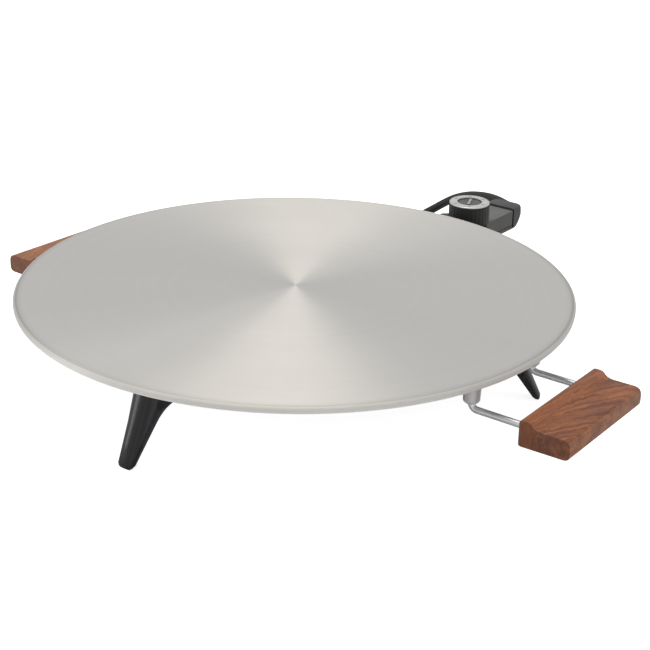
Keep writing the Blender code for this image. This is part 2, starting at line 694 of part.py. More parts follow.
def make_handle(side, word):
    seat = GRIP_SEATS[word]
    rod_end = seat[0] + ROD_IN_WOOD
    grip = slab(f"handle_grip_{word}", grip_outline(), -GRIP_LENGTH / 2, GRIP_LENGTH / 2, GRIDDLE,
                grip_frame(side, seat))
    bevel(grip, 0.0009, 2, 50)
    for end, place_word in ((-1, "front"), (1, "rear")):
        y = end * SOCKET_Y
        drill(grip, (side * (seat[0] - 0.008), y, ROD_Z), (side * (rod_end + GAP), y, ROD_Z),
              ROD_RADIUS + GAP)
        bend = [
            (side * (SOCKET_X + ROD_BEND_RADIUS - x), y, ROD_Z + ROD_BEND_RADIUS - z)
            for x, z in arc((0, 0), ROD_BEND_RADIUS, 0, 90, 6)
        ]
        path = [(side * SOCKET_X, y, ROD_TOP), *bend, (side * rod_end, y, ROD_Z)]
        rod = tube(f"handle_rod_{word}_{place_word}", path, ROD_RADIUS, GRIDDLE, resolution=3)
        dress(rod, "steel_rod")
        inner, outer = side * (SOCKET_X - ROD_RADIUS - 2 * GAP), side * (SOCKET_X - 0.0058)
        screw = round_bar(f"set_screw_{word}_{place_word}", (outer, y, SET_SCREW_Z),
                          (inner, y, SET_SCREW_Z), SET_SCREW_RADIUS, GRIDDLE, sides=12)
        drill(screw, (outer - side * 0.001, y, SET_SCREW_Z), (outer + side * 0.0014, y, SET_SCREW_Z),
              SET_SCREW_RADIUS * 0.5, 6)
        dress(screw, "screw_steel")
    dress(grip, "dark_wood")


# ---------------------------------------------------------------- control
def control_outline(inset=0.0):
    """The control's outline from above: a wide head that plugs in, and a narrow neck behind it."""
    head = CONTROL_HEAD_HALF - inset
    sides = []
    for side, word in ((1, "right"), (-1, "left")):
        neck, shoulder, meeting = CONTROL_NECK[word]
        neck -= inset
        sides.append([
            (side * head, CONTROL_FRONT_Y + inset),
            (side * head, shoulder - inset * 0.5),
            (side * neck, meeting - inset * 0.5),
            (side * neck, CONTROL_BACK_Y - inset),
        ])
    return [*sides[0], *reversed(sides[1])]


def make_control_housing():
    cover = slab("control_cover", control_outline(), CONTROL_SEAM + GAP, CONTROL_TOP, CONTROL)
    bevel(cover, CONTROL_EDGE, 2)
    cut(cover, slab("cover_hollow", control_outline(CONTROL_WALL), CONTROL_SEAM - 0.001,
                    CONTROL_TOP - CONTROL_WALL, CONTROL))
    base = slab("control_base", control_outline(), CONTROL_BOTTOM, CONTROL_SEAM, CONTROL)
    bevel(base, CONTROL_EDGE, 2)
    for word, (x, y) in POSTS.items():
        join(cover, round_bar("post", (x, y, CONTROL_SEAM + GAP), (x, y, CONTROL_TOP - 0.0006),
                              POST_RADIUS, CONTROL, sides=14))
    for word, (x, y) in POSTS.items():
        drill(cover, (x, y, CONTROL_SEAM - 0.002), (x, y, CONTROL_SEAM + 0.0075), 0.0014, 10)
        drill(base, (x, y, CONTROL_BOTTOM - 0.002), (x, y, CONTROL_SEAM + 0.002), 0.0015, 12)
        drill(base, (x, y, CONTROL_BOTTOM - 0.002), (x, y, CONTROL_BOTTOM + 0.0016), 0.0026, 14)
        dress(machine_screw(f"base_screw_{word}", (x, y, CONTROL_BOTTOM + 0.0016), 0.0022, 0.0012,
                            0.0011, 0.0080, CONTROL), "screw_steel")
    front, wall = CONTROL_FRONT_Y - 0.004, CONTROL_FRONT_Y + CONTROL_WALL + 0.002
    for x, radius in ((-TERMINAL_X, 0.0044), (TERMINAL_X, 0.0044), (0.0, PROBE_RADIUS + GAP)):
        drill(cover, (x, front, TERMINAL_Z), (x, wall, TERMINAL_Z), radius)
    drill(cover, (0, KNOB_Y, CONTROL_TOP - 0.004), (0, KNOB_Y, CONTROL_TOP + 0.002),
          SPINDLE_RADIUS + GAP)
    drill(cover, (*LENS_AT, CONTROL_TOP - 0.004), (*LENS_AT, CONTROL_TOP + 0.002), LENS_RADIUS + GAP)
    exit_x, exit_y, exit_z = CORD_ROUTE[0]
    drill(cover, (exit_x, CONTROL_BACK_Y - 0.004, exit_z + 0.003),
          (exit_x, CONTROL_BACK_Y + 0.004, exit_z + 0.003), CORD_RADIUS + GAP)
    dress(cover, "control_plastic")
    dress(base, "control_plastic")
    make_end_cap()


def cap_section(z, inset):
    """One level of the end cap, seen from above: a straight front and a rounded rear."""
    if z > CAP_MIDDLE:
        back = CAP_LEAN * ((z - CAP_MIDDLE) / (CAP_TOP - CAP_MIDDLE)) ** 2
    else:
        back = CAP_UNDERCUT * (CAP_MIDDLE - z) / (CAP_MIDDLE - CAP_BOTTOM)
    rear = CAP_END_Y - back - inset * 0.4
    front = CAP_FRONT_Y + inset * 0.5
    sides = []
    for side, word in ((1, "right"), (-1, "left")):
        width = CONTROL_NECK[word][0] - CAP_INSET - inset
        corner = arc((width - CAP_CORNER, rear - CAP_CORNER), CAP_CORNER, 0, 90, 6)
        sides.append([(side * x, y, z) for x, y in ((width, front), *corner)])
    return [*sides[0], *reversed(sides[1])]


def make_end_cap():
    """The cap behind the neck, which the cord leaves. A narrower boss joins it to the neck, so a
    groove runs down both sides; its roof closes the groove on top."""
    levels = [
        (CAP_BOTTOM, 0.0020), (CAP_BOTTOM + 0.0006, 0.0010), (CAP_BOTTOM + 0.0020, 0.0003),
        (0.0490, 0.0), (0.0520, 0.0), (0.0550, 0.0), (0.0580, 0.0),
        (CAP_TOP - 0.0016, 0.0001), (CAP_TOP - 0.0004, 0.0005), (CAP_TOP, 0.0012),
    ]
    rings = [cap_section(z, inset) for z, inset in levels]
    cap = lofted("control_end_cap", rings, CONTROL, Matrix.Identity(4))
    boss_front, boss_back = CONTROL_BACK_Y + GAP, CAP_FRONT_Y + 0.002
    join(cap, block("boss", (-0.0130, boss_front, 0.0474), (0.0108, boss_back, 0.0590), CONTROL))
    join(cap, block("roof", (-0.0144, boss_front, 0.0588), (0.0122, boss_back, CONTROL_TOP - 0.0001),
                    CONTROL))
    exit_x, exit_y, exit_z = CORD_ROUTE[0]
    drill(cap, (exit_x, CONTROL_BACK_Y - 0.002, exit_z + 0.003), (exit_x, exit_y + 0.003, exit_z + 0.003),
          0.0020)
    dress(cap, "control_plastic")


def make_probe_and_contacts():
    tip = [(PROBE_RADIUS * math.sin(math.radians(a)), PROBE_RADIUS * math.cos(math.radians(a)))
           for a in range(0, 91, 18)]
    length = PROBE_END_Y - PROBE_TIP_Y
    profile = [(r, length - PROBE_RADIUS + z) for r, z in tip]
    profile += [
        (PROBE_RADIUS, PROBE_END_Y - CONTROL_FRONT_Y - 0.0040),
        (0.0045, PROBE_END_Y - CONTROL_FRONT_Y - 0.0040),
        (0.0045, PROBE_END_Y - CONTROL_FRONT_Y - 0.0052),
        (PROBE_RADIUS, PROBE_END_Y - CONTROL_FRONT_Y - 0.0052),
        (PROBE_RADIUS, 0.0),
        (0.0, 0.0),
    ]
    facing = Matrix.Translation((0, PROBE_END_Y, TERMINAL_Z)) @ Matrix.Rotation(math.pi / 2, 4, "X")
    dress(turned("temperature_probe", profile, CONTROL, facing, 20), "steel_rod")
    for side, word in ((-1, "left"), (1, "right")):
        x = side * TERMINAL_X
        sleeve = round_bar(f"contact_sleeve_{word}", (x, 0.1830, TERMINAL_Z), (x, 0.2060, TERMINAL_Z),
                           0.0034, CONTROL, sides=18)
        drill(sleeve, (x, 0.1800, TERMINAL_Z), (x, 0.2035, TERMINAL_Z), TERMINAL_PIN_RADIUS + GAP)
        dress(sleeve, "brass")


def make_thermostat():
    dress(block("thermostat_block", (-0.0060, 0.2010, CONTROL_SEAM + 2 * GAP),
                (0.0060, 0.2100, CONTROL_TOP - CONTROL_WALL - GAP), CONTROL), "ceramic")
    dress(block("bimetal_blade", (-0.0030, 0.2100 + GAP, 0.0522), (0.0030, 0.2330, 0.0530), CONTROL),
          "brass")
    dress(block("contact_blade", (-0.0030, 0.2100 + GAP, 0.0561), (0.0030, 0.2390, 0.0567), CONTROL),
          "brass")
    x, y = LENS_AT
    lens = turned("pilot_lens", [
        (0.0, CONTROL_TOP + 0.0014), (LENS_RADIUS * 0.6, CONTROL_TOP + 0.0010),
        (LENS_RADIUS, CONTROL_TOP), (LENS_RADIUS, CONTROL_TOP - 0.0024), (0.0, CONTROL_TOP - 0.0024),
    ], CONTROL, Matrix.Translation((x, y, 0)), 18)
    dress(lens, "pilot_red")
    lamp = turned("pilot_lamp", [(0.0, 0.0050), (0.0012, 0.0042), (0.0019, 0.0030), (0.0019, -0.0040),
                                 (0.0, -0.0040)],
                  CONTROL, Matrix.Translation((x, y, 0.0545)) @ Matrix.Rotation(-math.pi / 2, 4, "X"), 12)
    dress(lamp, "ceramic")


def knob_outline():
    """A circle with shallow flutes."""
    steps = KNOB_FLUTES * 4
    found = []
    for step in range(steps):
        turn = 2 * math.pi * step / steps
        radius = KNOB_RADIUS - KNOB_FLUTE_DEPTH * (0.5 - 0.5 * math.cos(KNOB_FLUTES * turn))
        found.append((radius * math.cos(turn), radius * math.sin(turn)))
    return found


def make_dial():
    """The knob with its silver dial, the insert with the pointer, and the spindle below it."""
    knob = slab("dial_knob", knob_outline(), KNOB_BOTTOM, KNOB_TOP, DIAL)
    drill(knob, (0, 0, KNOB_TOP - KNOB_WELL_DEPTH), (0, 0, KNOB_TOP + 0.002), DIAL_HOLE_RADIUS, 32)
    drill(knob, (0, 0, KNOB_BOTTOM - 0.002), (0, 0, KNOB_BOTTOM + 0.0100), SPINDLE_RADIUS + GAP)
    dress(knob, "control_plastic")
    low, high = KNOB_TOP + GAP, KNOB_TOP + GAP + DIAL_THICKNESS
    outer = KNOB_RADIUS - 0.0003
    dial = turned("dial_plate", [
        (DIAL_HOLE_RADIUS, high), (outer - 0.0004, high), (outer, high - 0.0004), (outer, low),
        (DIAL_HOLE_RADIUS, low), (DIAL_HOLE_RADIUS, high),
    ], DIAL, sides=40)
    dress(dial, "dial_silver")
    floor = KNOB_TOP - KNOB_WELL_DEPTH + GAP
    insert = round_bar("dial_insert", (0, 0, floor), (0, 0, floor + 0.0014), DIAL_HOLE_RADIUS - GAP,
                       DIAL, sides=32)
    bar = block("pointer", (-0.0011, -0.0078, floor + 0.0010), (0.0011, 0.0078, high), DIAL,
                Matrix.Rotation(math.radians(POINTER_ANGLE), 4, "Z"))
    join(insert, bar)
    dress(insert, "control_plastic")
    spindle = turned("dial_spindle", [
        (0.0, KNOB_BOTTOM + 0.0095), (SPINDLE_RADIUS, KNOB_BOTTOM + 0.0095),
        (SPINDLE_RADIUS, CONTROL_TOP - CONTROL_WALL - 0.0008), (0.0014, SPINDLE_TIP + 0.0006),
        (0.0008, SPINDLE_TIP), (0.0, SPINDLE_TIP),
    ], DIAL, sides=16)
    dress(spindle, "brass")


# ---------------------------------------------------------------- cord and plug
def make_cord():
    """The strain relief, the free stretch, the coil and the tail to the plug."""
    points = RELIEF_LENGTH_POINTS
    relief = smooth_route(CORD_ROUTE[:points + 1], 0.0050)
    relief = [p for p in relief if p.x > CORD_ROUTE[points - 1][0]] + [Vector(CORD_ROUTE[points - 1])]
    share = [1.0 - 0.20 * i / (len(relief) - 1) for i in range(len(relief))]
    dress(tube("strain_relief", relief, 0.0049, CONTROL, radii=share), "cord_rubber")
    route = smooth_route(CORD_ROUTE[points - 1:], 0.0075)
    route[0] += (route[1] - route[0]).normalized() * GAP
    dress(tube("power_cord", route, CORD_RADIUS, CONTROL), "cord_rubber")

    cx, cy = COIL_CENTRE
    half = COIL_PITCH / 2 + CORD_RADIUS
    inner, outer = COIL_MIDDLE_RADIUS - half, COIL_MIDDLE_RADIUS + half
    low = GAP / 2
    high = low + 2 * CORD_RADIUS + (COIL_LAYERS - 1) * COIL_PITCH
    coil = turned("cord_coil", [(inner, high), (outer - 0.0015, high), (outer, high - 0.0015),
                                (outer, low + 0.0015), (outer - 0.0015, low), (inner, low),
                                (inner, high)],
                  CONTROL, Matrix.Translation((cx, cy, 0)), 32)
    # The free stretch and the tail meet the coil in two notches in its rim.
    reach = CORD_RADIUS + GAP
    entry = CORD_ROUTE[-1][0]
    cut(coil, block("entry_notch", (entry - 0.010, cy - 0.0001, -0.001),
                    (entry + reach, cy + outer, 2 * CORD_RADIUS + 2 * GAP), CONTROL))
    tail_y = cy - COIL_MIDDLE_RADIUS - COIL_PITCH / 2
    tail_z = low + CORD_RADIUS + COIL_PITCH
    cut(coil, block("tail_notch", (cx - GAP, tail_y - 0.010, tail_z - reach),
                    (cx + outer, tail_y + reach, high + 0.001), CONTROL))
    dress(coil, "cord_rubber")

    plug_x = cx + TAIL_LENGTH
    plug_z = PLUG_HALF_HEIGHT + GAP / 2
    tail = smooth_route([
        (cx, tail_y, tail_z), (cx + 0.010, tail_y, tail_z), (cx + 0.020, tail_y, tail_z),
        (cx + 0.031, tail_y, tail_z - 0.0011), (cx + 0.042, tail_y, plug_z - 0.0002),
        (cx + 0.053, tail_y, plug_z - 0.0004), (plug_x - 0.0005, tail_y, plug_z),
    ], 0.0060)
    dress(tube("cord_tail", tail, CORD_RADIUS, CONTROL), "cord_rubber")
    make_plug(Vector((plug_x, tail_y, plug_z)))


def make_plug(entry):
    """A moulded two-blade plug that lies on the table, its cord end at entry."""
    x, y, z = entry
    width, height = PLUG_HALF_WIDTH, PLUG_HALF_HEIGHT
    outline = [
        (x, y - 0.0050), (x + 0.0100, y - 0.0058), (x + 0.0165, y - width * 0.92), (x + 0.0200, y - width),
        (x + PLUG_LENGTH, y - width), (x + PLUG_LENGTH, y + width), (x + 0.0200, y + width),
        (x + 0.0165, y + width * 0.92), (x + 0.0100, y + 0.0058), (x, y + 0.0050),
    ]
    body = slab("plug_body", outline, z - height, z + height, CONTROL)
    for vertex in body.data.vertices:
        if vertex.co.x < x + 0.0110:
            vertex.co.z *= 0.62
    bevel(body, 0.0012, 2)
    dress(body, "cord_rubber")
    length, thickness, blade_width = BLADE_SIZE
    for side, word in ((-1, "left"), (1, "right")):
        middle = y + side * BLADE_SPACING / 2
        start = x + PLUG_LENGTH + GAP
        blade = block(f"plug_blade_{word}", (start, middle - thickness / 2, z - blade_width / 2),
                      (start + length, middle + thickness / 2, z + blade_width / 2), CONTROL)
        drill(blade, (start + length - 0.0040, middle - 0.003, z),
              (start + length - 0.0040, middle + 0.003, z), 0.0012, 10)
        dress(blade, "brass")


# ---------------------------------------------------------------- assembly
clear_scene()
PARTS = new_collection("electric_griddle")
CUTTERS = new_collection("cutters")
GRIDDLE = new_empty("griddle", (0, AXIS_Y, 0))
CONTROL = new_empty("control", (0, 0, 0), GRIDDLE)
DIAL = new_empty("dial_axis", (0, KNOB_Y, 0), CONTROL)

make_plate()
make_element()
make_guard()
for leg_word, leg_angle in LEG_ANGLES.items():
    make_leg(leg_word, leg_angle)
make_handle(1, "right")
make_handle(-1, "left")
make_control_housing()
make_probe_and_contacts()
make_thermostat()
make_dial()
make_cord()
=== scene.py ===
"""The looks of the electric griddle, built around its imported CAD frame.

Everything is in metres, in the CAD frame: +X is the right handle, +Y the control, +Z up."""

import math

import bmesh
import bpy
from mathutils import Matrix, Vector


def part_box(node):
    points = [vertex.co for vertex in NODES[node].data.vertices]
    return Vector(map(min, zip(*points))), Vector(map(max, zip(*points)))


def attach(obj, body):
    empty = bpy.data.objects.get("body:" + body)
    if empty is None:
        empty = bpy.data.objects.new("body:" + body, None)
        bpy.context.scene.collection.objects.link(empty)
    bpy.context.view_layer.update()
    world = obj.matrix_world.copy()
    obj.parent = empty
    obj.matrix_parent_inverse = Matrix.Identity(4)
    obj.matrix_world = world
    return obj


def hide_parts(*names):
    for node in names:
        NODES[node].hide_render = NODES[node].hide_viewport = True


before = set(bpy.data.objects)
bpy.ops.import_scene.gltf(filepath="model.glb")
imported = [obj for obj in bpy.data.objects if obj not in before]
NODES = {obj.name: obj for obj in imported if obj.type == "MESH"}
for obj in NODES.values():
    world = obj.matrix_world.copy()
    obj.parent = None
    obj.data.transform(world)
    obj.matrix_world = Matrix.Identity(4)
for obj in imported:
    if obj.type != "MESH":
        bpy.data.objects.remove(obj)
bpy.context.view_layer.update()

AXIS_Y = -0.0474  # the plate's axis; the cord's route and the small marks are relative to it
AXIS = (0.0, AXIS_Y, 0.0)
PLATE_TOP = 0.0762
TURNED_DEPTH = 0.0052  # the plate is turned this far down from its top and is as cast below
SHOULDER_RADII = (0.1955, 0.2000)  # over these the plate's colour darkens towards its edge, a painted shade
EDGE_RADII = (0.2012, 0.2022)  # and over these it is painted pale, a painted highlight
KNOB_AT = Vector((0.0, 0.2340 + AXIS_Y, 0.0))
DIAL_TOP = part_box("dial_plate")[1].z
COVER_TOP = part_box("control_cover")[1].z


# ---------------------------------------------------------------- camera
CAMERA_PLACE = (0.67222, -0.90148, 0.50725)
CAMERA_ANGLES = (37.04, 23.05, 1.13)  # azimuth, elevation and roll, in degrees
CAMERA_LENS, CAMERA_SENSOR = 88.68, 36.0


def make_camera():
    """A camera at the front right that looks down at the plate, rolled a little."""
    azimuth, elevation, roll = (math.radians(a) for a in CAMERA_ANGLES)
    back = Vector((
        math.sin(azimuth) * math.cos(elevation),
        -math.cos(azimuth) * math.cos(elevation),
        math.sin(elevation),
    ))
    level = Vector((math.cos(azimuth), math.sin(azimuth), 0.0))
    rise = back.cross(level)
    right = level * math.cos(roll) + rise * math.sin(roll)
    up = rise * math.cos(roll) - level * math.sin(roll)
    data = bpy.data.cameras.new("camera")
    data.sensor_width = CAMERA_SENSOR
    data.lens = CAMERA_LENS
    camera = bpy.data.objects.new("camera", data)
    rows = [(*axes, place) for axes, place in zip(zip(right, up, back), CAMERA_PLACE)]
    camera.matrix_world = Matrix((*rows, (0.0, 0.0, 0.0, 1.0)))
    bpy.context.scene.collection.objects.link(camera)
    bpy.context.scene.camera = camera


# ---------------------------------------------------------------- mesh helpers
def piece(name, data, body, finish):
    """An object of the visual model that rides a body and wears the given finish."""
    data.materials.append(finish)
    made = bpy.data.objects.new(name, data)
    bpy.context.scene.collection.objects.link(made)
    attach(made, body)
    return made


def from_bmesh(name, bm):
    bmesh.ops.recalc_face_normals(bm, faces=bm.faces)
    mesh = bpy.data.meshes.new(name)
    bm.to_mesh(mesh)
    bm.free()
    return mesh


def add_box(bm, low, high, turn):
    """A box with the given corners, which is then turned and moved."""
    size = [b - a for a, b in zip(low, high)]
    middle = [(a + b) / 2 for a, b in zip(low, high)]
    matrix = Matrix.Translation(middle) @ Matrix.Diagonal((*size, 1.0))
    bmesh.ops.create_cube(bm, size=1.0, matrix=turn @ matrix)


def join_rings(bm, low, high, smooth=False):
    """A band of faces between two closed rings with the same number of points."""
    for k in range(len(low)):
        after = (k + 1) % len(low)
        bm.faces.new((low[k], low[after], high[after], high[k])).smooth = smooth


def lofted(name, rings):
    """A smooth closed skin through the rings of points, capped at both ends."""
    bm = bmesh.new()
    rings = [[bm.verts.new(point) for point in ring] for ring in rings]
    for low, high in zip(rings, rings[1:]):
        join_rings(bm, low, high, smooth=True)
    bm.faces.new(rings[0])
    bm.faces.new(rings[-1])
    return from_bmesh(name, bm)


def full_turn(count):
    """Even angles once round."""
    return [2 * math.pi * k / count for k in range(count)]


def smooth_route(points, spacing):
    """A Catmull-Rom curve through the points, sampled about every spacing."""
    route = [Vector(p) for p in points]
    padded = [2 * route[0] - route[1], *route, 2 * route[-1] - route[-2]]
    found = []
    for a, b, c, d in zip(padded, padded[1:], padded[2:], padded[3:]):
        steps = max(1, round((c - b).length / spacing))
        for step in range(steps):
            t = step / steps
            found.append(
                0.5 * (2 * b + (c - a) * t + (2 * a - 5 * b + 4 * c - d) * t**2
                       + (3 * b - a - 3 * c + d) * t**3)
            )
    return [*found, route[-1]]


def ease(low, high, value):
    """0 before low, 1 after high, and smooth between."""
    t = max(0.0, min(1.0, (value - low) / (high - low)))
    return t * t * (3 - 2 * t)


def route_length(points):
    return sum((b - a).length for a, b in zip(points, points[1:]))


# ---------------------------------------------------------------- cord
CORD_RADIUS = 0.0037
TABLE_Z = CORD_RADIUS + 0.00015
ROUTE_STEP = 0.006
TUBE_SIDES = 20
COIL_X, COIL_Y = -0.08595, 0.2900
COIL_PITCH = 0.0077
COIL_OUTER, COIL_INNER = 0.0413, 0.0338
COIL_TURNS = 3.25
STEPS_EACH_TURN = 28
INWARD_OVER, CLIMB_OVER, OUTWARD_OVER = (0.65, 1.00), (1.55, 1.95), (2.40, 2.75)  # in turns
PLUG_X = COIL_X + 0.0640
PLUG_Z = 0.00815
PLUG_Y = COIL_Y - COIL_OUTER
FREE_ROUTE = [
    (-0.0030, 0.3025, 0.0484), (-0.0033, 0.3068, 0.0484), (-0.0048, 0.3128, 0.0483),
    (-0.0080, 0.3190, 0.0482), (-0.0126, 0.3247, 0.0480), (-0.0186, 0.3295, 0.0477),
    (-0.0340, 0.3387, 0.0469), (-0.0505, 0.3458, 0.0451), (-0.0690, 0.3517, 0.0410),
    (-0.0830, 0.3553, 0.0361), (-0.0946, 0.3580, 0.0304), (-0.1018, 0.3590, 0.0259),
    (-0.1090, 0.3578, 0.0208), (-0.1154, 0.3550, 0.0160), (-0.1208, 0.3506, 0.0120),
    (-0.1250, 0.3450, 0.0089), (-0.1280, 0.3384, 0.0067), (-0.1293, 0.3312, 0.0052),
    (-0.1293, 0.3240, 0.0043), (-0.1287, 0.3165, 0.0038), (-0.1279, 0.3090, TABLE_Z),
    (-0.1271, 0.3010, TABLE_Z), (-0.1267, 0.2960, TABLE_Z),
]
TAIL_Z = TABLE_Z + COIL_PITCH
TAIL_ROUTE = [
    (COIL_X + 0.010, PLUG_Y, TAIL_Z), (COIL_X + 0.020, PLUG_Y, TAIL_Z),
    (COIL_X + 0.031, PLUG_Y, TAIL_Z - 0.0011), (COIL_X + 0.042, PLUG_Y, PLUG_Z - 0.0002),
    (COIL_X + 0.053, PLUG_Y, PLUG_Z - 0.0004), (PLUG_X + 0.0020, PLUG_Y, PLUG_Z),
]


def coil_points():
    """Two turns on the table and the rest on top of them, wound counterclockwise."""
    found = []
    steps = round(COIL_TURNS * STEPS_EACH_TURN)
    for step in range(steps + 1):
        turn = COIL_TURNS * step / steps
        inward = ease(*INWARD_OVER, turn) - ease(*OUTWARD_OVER, turn)
        radius = COIL_OUTER - (COIL_OUTER - COIL_INNER) * inward
        angle = math.pi + 2 * math.pi * turn
        found.append(Vector((
            COIL_X + radius * math.cos(angle),
            COIL_Y + radius * math.sin(angle),
            TABLE_Z + COIL_PITCH * ease(*CLIMB_OVER, turn),
        )))
    return found


def sweep(name, points, radii):
    """A round skin along the points, with a radius at each."""
    along = [(b - a).normalized() for a, b in zip(points, points[1:])]
    along = [along[0], *[(a + b).normalized() for a, b in zip(along, along[1:])], along[-1]]
    side = along[0].orthogonal().normalized()
    rings = []
    for point, radius, ahead in zip(points, radii, along):
        side = (side - ahead * side.dot(ahead)).normalized()
        other = ahead.cross(side)
        spokes = [side * math.cos(t) + other * math.sin(t) for t in full_turn(TUBE_SIDES)]
        rings.append([point + radius * spoke for spoke in spokes])
    return lofted(name, rings)


def resampled(points, spacing):
    """The same line with points at even steps."""
    steps = round(route_length(points) / spacing)
    step = route_length(points) / steps
    found, left = [points[0]], step
    for a, b in zip(points, points[1:]):
        length, done = (b - a).length, 0.0
        while length - done >= left - 1e-9:
            done += left
            found.append(a.lerp(b, min(1.0, done / length)))
            left = step
        left -= length - done
    return [*found[:steps], points[-1]]


def make_cord():
    """The whole lead as one tube: down to the table, round the coil and on to the plug."""
    coil = coil_points()
    free = smooth_route([*FREE_ROUTE, coil[0]], ROUTE_STEP)[:-1]
    tail = smooth_route(TAIL_ROUTE, ROUTE_STEP)
    route = [point + Vector(AXIS) for point in (*free, *coil, *tail)]
    mesh = sweep("power_lead", route, [CORD_RADIUS] * len(route))
    cord = piece("power_lead", mesh, "control", FINISHES["cord_rubber"])
    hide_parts("power_cord", "cord_coil", "cord_tail")
    return cord, route


def make_relief(route):
    """The ribbed sleeve, thinner towards its end, that the lead leaves the end cap through."""
    spacing, length = 0.0005, 0.0362
    root_radius, end_radius = 0.0049, 0.0039
    collar, plain_end = 0.004, 0.003
    rib_pitch, rib_depth = 0.0036, 0.0007
    points, radii = [], []
    start_of_route = route[:12]
    for index, point in enumerate(resampled(start_of_route, spacing)):
        run = index * spacing
        if run > length:
            break
        radius = root_radius - (root_radius - end_radius) * run / length
        if collar < run < length - plain_end:
            wave = 0.5 - 0.5 * math.cos(2 * math.pi * (run - collar) / rib_pitch)
            radius -= rib_depth * ease(0.30, 0.75, wave)
        points.append(point)
        radii.append(radius)
    radii[-1] -= 0.0002  # a broken edge
    mesh = sweep("ribbed_strain_relief", points, radii)
    relief = piece("ribbed_strain_relief", mesh, "control", FINISHES["cord_rubber"])
    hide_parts("strain_relief")
    return relief


# ---------------------------------------------------------------- materials
class Finish:
    """A material's node tree, with short calls that add and join nodes."""

    def __init__(self, name):
        self.material = bpy.data.materials.new(name)
        self.material.use_nodes = True
        self.tree = self.material.node_tree
        self.tree.nodes.clear()
        self.surface = self.add("ShaderNodeBsdfPrincipled")
        output = self.add("ShaderNodeOutputMaterial")
        self.tree.links.new(self.surface.outputs[0], output.inputs[0])
        self.place = self.add("ShaderNodeTexCoord").outputs["Object"]

    def add(self, kind, **settings):
        node = self.tree.nodes.new(kind)
        for key, value in settings.items():
            setattr(node, key, value)
        return node

    def feed(self, socket, value):
        if isinstance(value, bpy.types.NodeSocket):
            self.tree.links.new(value, socket)
        else:
            socket.default_value = value

    def set(self, **values):
        """Sets the shader's own sockets, named with underscores."""
        for key, value in values.items():
            socket = self.surface.inputs[key.replace("_", " ")]
            self.feed(socket, value)

    def math(self, operation, first, second=0.0):
        node = self.add("ShaderNodeMath", operation=operation)
        self.feed(node.inputs[0], first)
        self.feed(node.inputs[1], second)
        return node.outputs[0]

    def sum(self, *values):
        total = values[0]
        for value in values[1:]:
            total = self.math("ADD", total, value)
        return total

    def vector(self, operation, first, second=(0.0, 0.0, 0.0)):
        node = self.add("ShaderNodeVectorMath", operation=operation)
        self.feed(node.inputs[0], first)
        self.feed(node.inputs[1], second)
        return node.outputs["Value" if operation == "LENGTH" else "Vector"]

    def part(self, vector, axis):
        node = self.add("ShaderNodeSeparateXYZ")
        self.feed(node.inputs[0], vector)
        return node.outputs[axis]

    def joined(self, x, y, z):
        node = self.add("ShaderNodeCombineXYZ")
        for socket, value in zip(node.inputs, (x, y, z)):
            self.feed(socket, value)
        return node.outputs[0]

    def noise(self, place, scale, detail, roughness=0.5):
        node = self.add("ShaderNodeTexNoise")
        for key, value in (("Vector", place), ("Scale", scale), ("Detail", detail), ("Roughness", roughness)):
            self.feed(node.inputs[key], value)
        return node.outputs["Fac"]

    def line_noise(self, along, scale, detail):
        """Noise that varies with one number only."""
        node = self.add("ShaderNodeTexNoise", noise_dimensions="1D")
        self.feed(node.inputs["W"], along)
        self.feed(node.inputs["Scale"], scale)
        self.feed(node.inputs["Detail"], detail)
        return node.outputs["Fac"]

    def stretched(self, place, x, y, z):
        """The place with each axis times its own scale."""
        return self.vector("MULTIPLY", place, (x, y, z))

    def dimmed(self, colour, share):
        return self.vector("MULTIPLY", colour, self.joined(share, share, share))

    def facing(self, axis):
        """How far the surface faces along an axis: 1 is straight along it and -1 straight against."""
        return self.part(self.add("ShaderNodeNewGeometry").outputs["True Normal"], axis)

    def remap(self, value, low, high, new_low=0.0, new_high=1.0, smooth=False):
        """The value's run from low to high, clamped, as one from new_low to new_high."""
        kind = "SMOOTHSTEP" if smooth else "LINEAR"
        node = self.add("ShaderNodeMapRange", interpolation_type=kind)
        for socket, number in zip(node.inputs, (value, low, high, new_low, new_high)):
            self.feed(socket, number)
        return node.outputs[0]

    def spread(self, noise, low, high):
        """A noise's usual range, 0.3 to 0.7, as low to high."""
        return self.remap(noise, 0.3, 0.7, low, high)

    def mix(self, share, first, second):
        node = self.add("ShaderNodeMix", data_type="RGBA", blend_type="MIX")
        self.feed(node.inputs[0], share)
        for socket, value in zip(node.inputs[6:8], (first, second)):
            self.feed(socket, (*value, 1.0) if isinstance(value, tuple) else value)
        return node.outputs[2]

    def bump(self, height, distance, strength, below=None):
        node = self.add("ShaderNodeBump")
        self.feed(node.inputs["Strength"], strength)
        self.feed(node.inputs["Distance"], distance)
        self.feed(node.inputs["Height"], height)
        if below is not None:
            self.feed(node.inputs["Normal"], below)
        return node.outputs[0]


